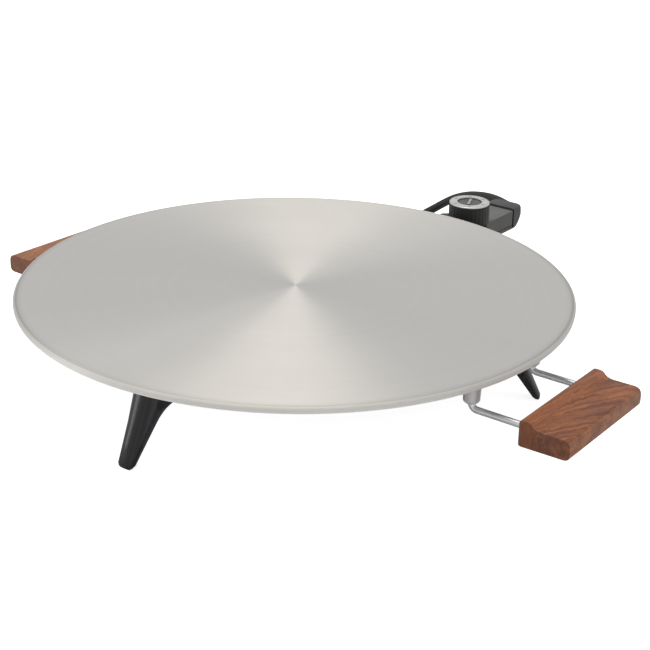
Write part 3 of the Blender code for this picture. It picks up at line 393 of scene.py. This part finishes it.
def turned_aluminium():
    """The plate: concentric grooves, faint bands and sectors above, the sectors a painted reflection of
    radial beams; a plain casting below. A band of painted shade runs just inside its edge, and the
    edge, which is duller, is painted paler as a painted highlight."""
    f = Finish("turned_aluminium")
    at = f.vector("SUBTRACT", f.place, AXIS)
    flat = f.vector("MULTIPLY", at, (1.0, 1.0, 0.0))
    radius = f.vector("LENGTH", flat)
    groove = f.line_noise(radius, 2600.0, 3.0)
    band = f.line_noise(radius, 150.0, 3.0)
    # a painted reflection: faint radial beams of paler and darker colour round the axis
    painted_radial_beams = f.noise(f.vector("NORMALIZE", flat), 3.2, 4.0, 0.55)
    cloud = f.noise(at, 14.0, 3.0)
    grain = f.noise(at, 700.0, 3.0, 0.6)
    cast_below = PLATE_TOP - TURNED_DEPTH
    cast = f.remap(f.part(at, "Z"), cast_below - 0.0004, cast_below + 0.0004, 1.0, 0.0, smooth=True)
    # painted shade just inside the edge, and a painted highlight on the edge itself
    shoulder_shade = f.remap(radius, *SHOULDER_RADII, 0.0, 0.5, smooth=True)
    edge = f.remap(radius, *EDGE_RADII, smooth=True)

    tone = f.sum(f.spread(band, -0.05, 0.05), f.spread(painted_radial_beams, -0.07, 0.07),
                 f.spread(groove, -0.09, 0.09), f.spread(cloud, -0.05, 0.05), 0.5)
    base = f.mix(tone, (0.745, 0.731, 0.704), (0.845, 0.833, 0.811))
    # the rim's painted shade, then its painted highlight
    base = f.mix(shoulder_shade, base, (0.690, 0.678, 0.655))
    base = f.mix(edge, base, (0.930, 0.920, 0.890))
    base = f.mix(cast, base, f.mix(grain, (0.68, 0.677, 0.69), (0.80, 0.797, 0.81)))

    dulled = f.remap(radius, SHOULDER_RADII[1] - 0.0010, EDGE_RADII[0], 0.0, 0.26, smooth=True)
    turned = f.sum(f.remap(groove, 0.25, 0.75, 0.43, 0.52), f.spread(cloud, -0.02, 0.02), dulled)
    rough = f.remap(cast, 0.0, 1.0, turned, f.spread(grain, 0.46, 0.60))
    height = f.remap(cast, 0.0, 1.0, groove, f.math("MULTIPLY", grain, 3.0))
    tangent = f.add("ShaderNodeTangent", direction_type="RADIAL", axis="Z").outputs[0]
    f.set(Base_Color=base, Metallic=1.0, Roughness=rough, Anisotropic=0.80, Anisotropic_Rotation=0.25,
          Tangent=tangent, Normal=f.bump(band, 0.00006, 0.2, f.bump(height, 0.00004, 0.35)))
    return f.material


def bright_steel():
    """The handle rods: bright plating, drawn along X."""
    f = Finish("bright_plated_steel")
    streak = f.noise(f.stretched(f.place, 90.0, 1400.0, 1400.0), 1.0, 3.0)
    cloud = f.noise(f.place, 120.0, 3.0)
    f.set(Base_Color=f.mix(cloud, (0.72, 0.73, 0.75), (0.86, 0.87, 0.89)), Metallic=1.0,
          Roughness=f.spread(streak, 0.22, 0.32), Normal=f.bump(streak, 0.00002, 0.25))
    return f.material


def stained_wood():
    """Reddish hardwood: wavy bands that run along the ridge and slant across the shelf, with
    fine dark pores along them. Its faces turned along X and the whole left grip are painted paler,
    as painted light."""
    red, brown = (0.345, 0.120, 0.049), (0.275, 0.101, 0.052)
    dark_band, orange_band, ridge_orange = (0.165, 0.058, 0.036), (0.500, 0.190, 0.066), (0.600, 0.205, 0.058)
    dark_line, dark_pore, dark_end = (0.130, 0.048, 0.032), (0.075, 0.028, 0.018), (0.085, 0.030, 0.022)
    painted_side_light, painted_left_haze = (0.420, 0.220, 0.150), (0.520, 0.255, 0.125)
    ridge_x, shelf_x = (0.2285, 0.2335), (0.221, 0.236)

    f = Finish("stained_hardwood")
    warp = f.add("ShaderNodeTexNoise")
    f.feed(warp.inputs["Vector"], f.stretched(f.place, 60.0, 30.0, 60.0))
    f.feed(warp.inputs["Detail"], 2.0)
    bend = f.vector("SUBTRACT", warp.outputs["Color"], (0.5, 0.5, 0.5))
    place = f.vector("ADD", f.place, f.vector("MULTIPLY", bend, (0.0050, 0.0050, 0.0050)))
    x = f.math("ABSOLUTE", f.part(place, "X"))
    y, z = f.part(place, "Y"), f.part(place, "Z")
    slant = f.remap(x, *shelf_x, 0.06, 0.50, smooth=True)
    across = f.math("SUBTRACT", x, f.math("MULTIPLY", y, slant))
    along = f.math("ADD", y, f.math("MULTIPLY", x, 0.40))

    def streaks(over, down, run, detail, roughness=0.55):
        spot = f.joined(f.math("MULTIPLY", across, over), f.math("MULTIPLY", along, run),
                        f.math("MULTIPLY", z, down))
        return f.noise(spot, 1.0, detail, roughness)

    band = streaks(215.0, 150.0, 14.0, 2.0)
    line = streaks(760.0, 500.0, 26.0, 3.0, 0.6)
    pore = streaks(2400.0, 2400.0, 130.0, 2.0, 0.6)
    patch = f.noise(f.place, 45.0, 2.0)
    base = f.mix(f.remap(patch, 0.35, 0.65, smooth=True), red, brown)
    for share, colour in (
        (f.remap(band, 0.47, 0.60, 0.0, 0.60, smooth=True), dark_band),
        (f.remap(band, 0.48, 0.36, 0.0, 0.62, smooth=True), orange_band),
        (f.remap(line, 0.47, 0.68, 0.0, 0.42, smooth=True), dark_line),
        (f.remap(pore, 0.54, 0.70, 0.0, 0.55, smooth=True), dark_pore),
        (f.remap(x, *ridge_x, 0.20, 0.0, smooth=True), ridge_orange),
        # painted light: faces turned along X are painted paler, as if lit from the side
        (f.remap(f.math("ABSOLUTE", f.facing("X")), 0.6, 0.9, 0.0, 0.30, smooth=True), painted_side_light),
        # painted light: the whole left grip is painted paler, a painted haze
        (f.remap(f.part(f.place, "X"), -0.1, 0.1, 0.30, 0.0), painted_left_haze),
        (f.remap(f.math("ABSOLUTE", f.facing("Y")), 0.6, 0.95, 0.0, 0.50, smooth=True), dark_end),
    ):
        base = f.mix(share, base, colour)
    height = f.math("SUBTRACT", f.math("MULTIPLY", line, 0.3), f.remap(pore, 0.5, 0.75, 0.0, 0.6))
    f.set(Base_Color=base, Roughness=f.spread(line, 0.42, 0.56), Specular_IOR_Level=0.36,
          Normal=f.bump(height, 0.00014, 0.5))
    return f.material


def grey(value):
    return (value, value, value)


def moulded(name, dark, light, rough, fine, flow=45.0, relief=0.00004, gloss=0.4, top=1.0, groove=None):
    """A moulded plastic or rubber: faint flow clouds and a fine surface texture. Where asked, its
    upward faces get painted light, top times as pale behind the knob, and a painted knob shadow,
    near black, in front of it; and in front of groove, a place along Y, it is painted near black as
    painted shade in the gap there."""
    f = Finish(name)
    cloud = f.noise(f.stretched(f.place, flow, flow, flow * 0.5), 1.0, 4.0)
    texture = f.noise(f.place, fine, 3.0, 0.6)
    tone = f.sum(f.math("MULTIPLY", cloud, 0.75), f.math("MULTIPLY", texture, 0.25))
    base = f.mix(f.spread(tone, 0.0, 1.0), dark, light)
    y = f.part(f.place, "Y")
    # painted light on upward faces behind the knob, fading to a painted knob shadow in front of it
    if top > 1.0:
        top_light_and_knob_shadow = f.remap(y, KNOB_AT.y, KNOB_AT.y + 0.022, 0.15, top, smooth=True)
        base = f.dimmed(base, f.remap(f.facing("Z"), 0.55, 0.95, 1.0, top_light_and_knob_shadow, smooth=True))
    # painted shade: in front of groove everything is painted near black, the shade in the gap
    if groove:
        base = f.dimmed(base, f.remap(y, groove - 0.0001, groove + 0.0001, 0.10, 1.0))
    f.set(Base_Color=base, Specular_IOR_Level=gloss, Roughness=f.spread(texture, rough - 0.05, rough + 0.05),
          Normal=f.bump(texture, relief, 0.4))
    return f.material


def black_phenolic():
    """Glossy near-black legs with faint painted reflection streaks that run down each of them."""
    f = Finish("black_phenolic")
    at = f.vector("SUBTRACT", f.place, AXIS)
    around = f.math("ARCTAN2", f.part(at, "Y"), f.part(at, "X"))
    # a painted reflection: streaks of lighter and darker colour down each leg
    streak = f.line_noise(around, 42.0, 1.0)
    texture = f.noise(f.place, 900.0, 3.0, 0.6)
    tone = f.sum(f.remap(streak, 0.42, 0.64, smooth=True), f.spread(texture, -0.08, 0.08))
    f.set(Base_Color=f.mix(tone, (0.0015, 0.0015, 0.003), (0.021, 0.021, 0.027)), Specular_IOR_Level=0.52,
          Roughness=f.spread(texture, 0.15, 0.25), Normal=f.bump(texture, 0.00001, 0.4))
    return f.material


def satin_metal(name, dark, light, rough, scale=300.0, metallic=1.0):
    """A plain metal, or with metallic at 0 a ceramic: clouded, with a fine grain."""
    f = Finish(name)
    cloud = f.noise(f.place, scale * 0.3, 4.0)
    grain = f.noise(f.place, scale * 5.0, 3.0)
    f.set(Base_Color=f.mix(cloud, dark, light), Metallic=metallic,
          Roughness=f.spread(grain, rough - 0.06, rough + 0.06), Normal=f.bump(grain, 0.00003, 0.3))
    return f.material


def brushed_ring():
    """The dial's silver ring, brushed round its own axis."""
    f = Finish("brushed_dial_ring")
    at = f.vector("SUBTRACT", f.place, tuple(KNOB_AT))
    radius = f.vector("LENGTH", f.vector("MULTIPLY", at, (1.0, 1.0, 0.0)))
    groove = f.line_noise(radius, 9000.0, 3.0)
    cloud = f.noise(at, 200.0, 3.0)
    tone = f.sum(f.math("MULTIPLY", groove, 0.6), f.math("MULTIPLY", cloud, 0.4))
    tangent = f.add("ShaderNodeTangent", direction_type="RADIAL", axis="Z").outputs[0]
    f.set(Base_Color=f.mix(tone, (0.74, 0.75, 0.75), (0.88, 0.89, 0.88)), Metallic=1.0,
          Roughness=f.spread(groove, 0.30, 0.40), Anisotropic=0.6, Tangent=tangent,
          Normal=f.bump(groove, 0.00002, 0.3))
    return f.material


def clear_part(name, dark, light, scale, rough, through, relief, strength):
    """A glossy see-through part, faintly clouded."""
    f = Finish(name)
    cloud = f.noise(f.place, scale, 3.0)
    f.set(Base_Color=f.mix(cloud, dark, light), Roughness=f.spread(cloud, *rough),
          Transmission_Weight=through, Normal=f.bump(cloud, relief, strength))
    return f.material


# where the end cap starts; in front of it the cap is painted near black as painted shade
CAP_FRONT = 0.2862 + AXIS_Y
FINISHES = {
    "cast_aluminium": turned_aluminium(),
    "steel_rod": bright_steel(),
    "screw_steel": satin_metal("zinc_plated_steel", (0.48, 0.48, 0.47), (0.62, 0.62, 0.60), 0.30),
    "guard_sheet": satin_metal("satin_sheet_steel", (0.50, 0.50, 0.49), (0.62, 0.62, 0.61), 0.34),
    "element_sheath": satin_metal(
        "oxidised_sheath", (0.10, 0.095, 0.09), (0.20, 0.185, 0.17), 0.55, scale=400.0, metallic=0.7),
    "ceramic": satin_metal(
        "steatite", (0.74, 0.71, 0.63), (0.84, 0.82, 0.75), 0.62, scale=500.0, metallic=0.0),
    "lamp_glass": clear_part(
        "lamp_glass", (0.86, 0.80, 0.74), (0.95, 0.92, 0.88),
        scale=500.0, rough=(0.05, 0.12), through=0.9, relief=0.00002, strength=0.2),
    "brass": satin_metal("satin_brass", (0.66, 0.48, 0.20), (0.80, 0.62, 0.30), 0.28, scale=400.0),
    "dark_wood": stained_wood(),
    "black_phenolic": black_phenolic(),
    # top paints light on the cover's upward faces and the knob's shadow in front of the knob
    "control_plastic": moulded(
        "charcoal_plastic", grey(0.074), grey(0.098), 0.50, 1400.0, relief=0.00005, top=1.95),
    "dial_silver": brushed_ring(),
    "pilot_red": clear_part(
        "red_lens", (0.42, 0.012, 0.008), (0.62, 0.030, 0.016),
        scale=700.0, rough=(0.10, 0.18), through=0.35, relief=0.00003, strength=0.3),
    "cord_rubber": moulded(
        "cord_rubber", grey(0.022), grey(0.034), 0.46, 1100.0, flow=60.0, relief=0.00005, gloss=0.35),
}
# Nodes whose look differs from the rest of their slot.
OWN_FINISH = {
    "dial_knob": moulded("knob_black", grey(0.018), grey(0.028), 0.46, 1300.0),
    "dial_insert": moulded("insert_grey", grey(0.115), grey(0.155), 0.48, 1500.0),
    # top paints light on the cap's upward faces; groove paints shade near black in front of the cap
    "control_end_cap": moulded("cap_charcoal", grey(0.056), grey(0.078), 0.50, 1400.0, relief=0.00005,
                               top=1.15, groove=CAP_FRONT),
}
PAINT_DARK = moulded("dial_paint", grey(0.130), grey(0.170), 0.60, 2500.0, gloss=0.3)
PAINT_PALE = moulded("pale_inlay", grey(0.42), grey(0.52), 0.45, 2500.0)
TIE_BAND = moulded("tie_band", (0.030, 0.030, 0.032), (0.060, 0.060, 0.064), 0.75, 1800.0,
                   gloss=0.2, relief=0.0001)


# ---------------------------------------------------------------- shading of the CAD nodes
SMOOTH_UP_TO = 38  # degrees; a steeper fold stays sharp
WELD_DISTANCE = 0.000002


def soft_edges(angle):
    """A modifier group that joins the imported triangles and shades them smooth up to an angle."""
    group = bpy.data.node_groups.new(f"soft_edges_{angle}", "GeometryNodeTree")
    for way in ("INPUT", "OUTPUT"):
        group.interface.new_socket("Geometry", in_out=way, socket_type="NodeSocketGeometry")
    start = group.nodes.new("NodeGroupInput")
    end = group.nodes.new("NodeGroupOutput")
    weld = group.nodes.new("GeometryNodeMergeByDistance")
    weld.inputs["Distance"].default_value = WELD_DISTANCE
    faces = group.nodes.new("GeometryNodeSetShadeSmooth")
    faces.domain = "FACE"
    edges = group.nodes.new("GeometryNodeSetShadeSmooth")
    edges.domain = "EDGE"
    edges.inputs["Shade Smooth"].default_value = False
    fold = group.nodes.new("GeometryNodeInputMeshEdgeAngle")
    sharp = group.nodes.new("FunctionNodeCompare")
    sharp.operation = "GREATER_THAN"
    sharp.inputs["B"].default_value = math.radians(angle)
    link = group.links.new
    link(start.outputs[0], weld.inputs[0])
    link(weld.outputs[0], faces.inputs[0])
    link(faces.outputs[0], edges.inputs[0])
    link(fold.outputs["Unsigned Angle"], sharp.inputs["A"])
    link(sharp.outputs[0], edges.inputs["Selection"])
    link(edges.outputs[0], end.inputs[0])
    return group


def dress_nodes():
    """Each CAD node that stays gets its slot's finish and smooth shading."""
    group = soft_edges(SMOOTH_UP_TO)
    for name, node in NODES.items():
        slot = node.data.materials[0].name.split(".")[0]
        node.data.materials[0] = OWN_FINISH.get(name, FINISHES[slot])
        for attribute in ("custom_normal", "sharp_edge", "sharp_face"):
            found = node.data.attributes.get(attribute)
            if found is not None:
                node.data.attributes.remove(found)
        node.modifiers.new("soft_edges", "NODES").node_group = group


# ---------------------------------------------------------------- small pieces
TICKS = 30
NUMBERS = ("150", "200", "250", "300", "350", "400")
DIAL_SET, POINTER_SET = 2, 22  # degrees that the ring's marks and the pointer are turned by
TICK_OUTER, TICK_INNER, LONG_TICK_INNER = 0.0161, 0.0152, 0.0145
TICK_HALF_WIDTH = 0.00014
NUMBER_RADIUS, NUMBER_HEIGHT, NUMBER_RELIEF = 0.0128, 0.0021, 0.00004
INLAY_HALF_WIDTH, INLAY_HALF_LENGTH = 0.0009, 0.0066


def on_dial(degrees):
    return Matrix.Translation(KNOB_AT) @ Matrix.Rotation(math.radians(degrees), 4, "Z")


def make_dial_ticks():
    """Ticks round the silver ring, every fifth one longer."""
    bm = bmesh.new()
    for step in range(TICKS):
        inner = TICK_INNER if step % 5 else LONG_TICK_INNER
        low = (inner, -TICK_HALF_WIDTH, DIAL_TOP - 0.00002)
        high = (TICK_OUTER, TICK_HALF_WIDTH, DIAL_TOP + 0.00005)
        add_box(bm, low, high, on_dial(360 / TICKS * step + DIAL_SET))
    piece("dial_ticks", from_bmesh("dial_ticks", bm), "dial", PAINT_DARK)


def make_pointer_inlay():
    """A pale bar let into the pointer."""
    bm = bmesh.new()
    low = (-INLAY_HALF_WIDTH, -INLAY_HALF_LENGTH, DIAL_TOP - 0.00015)
    high = (INLAY_HALF_WIDTH, INLAY_HALF_LENGTH, DIAL_TOP + 0.00010)
    add_box(bm, low, high, on_dial(POINTER_SET))
    inlay = piece("pointer_inlay", from_bmesh("pointer_inlay", bm), "dial", PAINT_PALE)
    bevel = inlay.modifiers.new("bevel", "BEVEL")
    bevel.width, bevel.segments = 0.00008, 2


def text_mesh(word):
    """A short word as a thin solid, centred on the origin."""
    text = bpy.data.curves.new("number", "FONT")
    text.body = word
    text.size = NUMBER_HEIGHT
    text.extrude = NUMBER_RELIEF
    text.align_x, text.align_y = "CENTER", "CENTER"
    holder = bpy.data.objects.new("number", text)
    bpy.context.scene.collection.objects.link(holder)
    evaluated = holder.evaluated_get(bpy.context.evaluated_depsgraph_get())
    mesh = bpy.data.meshes.new_from_object(evaluated)
    bpy.data.objects.remove(holder)
    bpy.data.curves.remove(text)
    return mesh


def make_dial_numbers():
    """Plain temperature numbers on the ring, their tops outwards."""
    bm = bmesh.new()
    outwards = Matrix.Translation((NUMBER_RADIUS, 0.0, DIAL_TOP)) @ Matrix.Rotation(-math.pi / 2, 4, "Z")
    for index, word in enumerate(NUMBERS):
        mesh = text_mesh(word)
        mesh.transform(on_dial(360 / len(NUMBERS) * index + DIAL_SET) @ outwards)
        bm.from_mesh(mesh)
        bpy.data.meshes.remove(mesh)
    piece("dial_numbers", from_bmesh("dial_numbers", bm), "dial", PAINT_DARK)


# Each station along the plug: its distance from the plug's back, half its width and half its height.
PLUG_STATIONS = [
    (0.0000, 0.0046, 0.0046), (0.0006, 0.0050, 0.0049), (0.0030, 0.0050, 0.0049),
    (0.0036, 0.0044, 0.0043), (0.0048, 0.0044, 0.0043), (0.0054, 0.0053, 0.0051),
    (0.0076, 0.0054, 0.0052), (0.0082, 0.0048, 0.0046), (0.0094, 0.0049, 0.0047),
    (0.0100, 0.0060, 0.0056), (0.0130, 0.0085, 0.0064), (0.0165, 0.0115, 0.0073),
    (0.0200, 0.0128, 0.0078), (0.0250, 0.0126, 0.0076), (0.0300, 0.0123, 0.0075),
    (0.0340, 0.0127, 0.0078), (0.0362, 0.0127, 0.0078), (0.0370, 0.0119, 0.0071),
]
PLUG_SIDES = 40


def make_plug():
    """A moulded plug: a ribbed round neck that widens into a flat, squarish grip."""
    rings = []
    for run, wide, high in PLUG_STATIONS:
        power = 2 / (2.2 + 1.6 * ease(0.010, 0.020, run))  # the grip is squarer than the neck
        ring = []
        for turn in full_turn(PLUG_SIDES):
            across, up = (math.copysign(abs(v) ** power, v) for v in (math.cos(turn), math.sin(turn)))
            ring.append((PLUG_X + run, PLUG_Y + AXIS_Y + across * wide, PLUG_Z + up * high))
        rings.append(ring)
    mesh = lofted("moulded_plug", rings)
    plug = piece("moulded_plug", mesh, "control", FINISHES["cord_rubber"])
    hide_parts("plug_body")
    return plug


TIE_THICKNESS, TIE_HALF_WIDTH = 0.0008, 0.0045
TIE_CORNER, CORNER_STEPS = 0.0030, 6
TIE_AROUND = -52  # degrees round the coil


def tie_outline(inner, outer, below, top, corner):
    """A rectangle with round corners, in the plane across the coil's turns."""
    corners = ((outer, top), (inner, top), (inner, below), (outer, below))
    outline = []
    for quarter, (r, z) in enumerate(corners):
        centre_r = r - corner if r == outer else r + corner
        centre_z = z - corner if z == top else z + corner
        for step in range(CORNER_STEPS + 1):
            angle = math.radians(90 * quarter + 90 / CORNER_STEPS * step)
            outline.append((centre_r + corner * math.cos(angle), centre_z + corner * math.sin(angle)))
    return outline


def make_coil_tie():
    """A soft strap that holds the coil's turns together."""
    inner, outer = COIL_INNER - CORD_RADIUS, COIL_OUTER + CORD_RADIUS
    top = TABLE_Z + COIL_PITCH + CORD_RADIUS
    bm = bmesh.new()
    rings = []
    for grow, below in ((0.0, 0.0003), (TIE_THICKNESS, 0.0)):
        outline = tie_outline(inner - grow, outer + grow, below, top + grow, TIE_CORNER + grow)
        for side in (-TIE_HALF_WIDTH, TIE_HALF_WIDTH):
            rings.append([bm.verts.new((r, side, z)) for r, z in outline])
    inside_low, inside_high, outside_low, outside_high = rings
    join_rings(bm, inside_low, inside_high)
    join_rings(bm, inside_high, outside_high)
    join_rings(bm, outside_high, outside_low)
    join_rings(bm, outside_low, inside_low)
    around = Matrix.Rotation(math.radians(TIE_AROUND), 4, "Z")
    bm.transform(Matrix.Translation((COIL_X, COIL_Y + AXIS_Y, 0)) @ around)
    return piece("coil_tie", from_bmesh("coil_tie", bm), "control", TIE_BAND)


def make_index_mark():
    """A small pale triangle on the cover, in front of the knob, that the dial is read against."""
    corners = ((-0.0016, 0.2124), (0.0016, 0.2124), (0.0, 0.2154))
    bm = bmesh.new()
    below, above = (
        [bm.verts.new((x, y + AXIS_Y, COVER_TOP + rise)) for x, y in corners] for rise in (-0.00005, 0.00012)
    )
    bm.faces.new(below)
    bm.faces.new(above)
    join_rings(bm, below, above)
    piece("index_mark", from_bmesh("index_mark", bm), "control", PAINT_PALE)


# ---------------------------------------------------------------- stage and light
WORLD_STRENGTH = 0.64
FLOOR_RADIUS = 14.0
FLOOR_GLOW, BOUNCE_GLOW = 0.80, 0.04
WARM = (1.0, 0.93, 0.81)
WHITE = (1.0, 1.0, 1.0)
LIGHTS = (  # name, place, width, height, power, colour
    ("overhead", (-0.13, -0.16, 2.1), 1.35, 1.35, 9.6, WARM),
    ("left_strip", (-1.02, -0.84, 0.45), 0.34, 0.8, 1.8, WHITE),
    ("front_strip", (1.10, -1.02, 0.50), 0.12, 0.9, 0.5, WHITE),
)


def area_light(name, place, width, height, power, colour):
    """A soft light aimed at the middle of the plate."""
    data = bpy.data.lights.new(name, "AREA")
    data.shape = "RECTANGLE"
    data.size = width
    data.size_y = height
    data.energy = power
    data.color = colour
    light = bpy.data.objects.new(name, data)
    bpy.context.scene.collection.objects.link(light)
    light.location = place
    aim = Vector((0.0, AXIS_Y, PLATE_TOP)) - Vector(place)
    light.rotation_euler = aim.to_track_quat("-Z", "Y").to_euler()


def make_floor(name, height, low, high, glow):
    """A wide disc at a height, clouded between two greys."""
    bm = bmesh.new()
    bmesh.ops.create_circle(bm, cap_ends=True, segments=96, radius=FLOOR_RADIUS)
    mesh = bpy.data.meshes.new(name)
    bm.to_mesh(mesh)
    bm.free()
    floor = bpy.data.objects.new(name, mesh)
    floor.location = (0.0, 0.0, height)
    bpy.context.scene.collection.objects.link(floor)
    f = Finish(name)
    f.set(Base_Color=f.mix(f.noise(f.place, 3.0, 3.0), grey(low), grey(high)), Roughness=0.9,
          Specular_IOR_Level=0.0, Emission_Color=(*WHITE, 1.0), Emission_Strength=glow)
    mesh.materials.append(f.material)
    return floor


def make_stage():
    """A white floor that only the camera sees, and just below it a grey one that only gives light
    back."""
    seen = make_floor("floor", -0.0002, 0.88, 0.90, FLOOR_GLOW)
    seen.visible_diffuse = False
    seen.visible_glossy = False
    seen.visible_transmission = False
    seen.visible_shadow = False
    bounce = make_floor("floor_bounce", -0.0004, 0.72, 0.76, BOUNCE_GLOW)
    bounce.visible_camera = False


def make_light():
    """A grey room, a warm softbox over the plate, and two weak strips for the rim and the legs."""
    world = bpy.data.worlds.new("studio")
    world.use_nodes = True
    sky = world.node_tree.nodes["Background"]
    sky.inputs["Color"].default_value = (*WHITE, 1.0)
    sky.inputs["Strength"].default_value = WORLD_STRENGTH
    bpy.context.scene.world = world
    for light in LIGHTS:
        area_light(*light)
    bpy.context.scene.view_settings.view_transform = "Standard"


make_camera()
cord, cord_route = make_cord()
relief = make_relief(cord_route)
plug = make_plug()
tie = make_coil_tie()
dress_nodes()
make_dial_ticks()
make_pointer_inlay()
make_dial_numbers()
make_index_mark()
make_stage()
make_light()
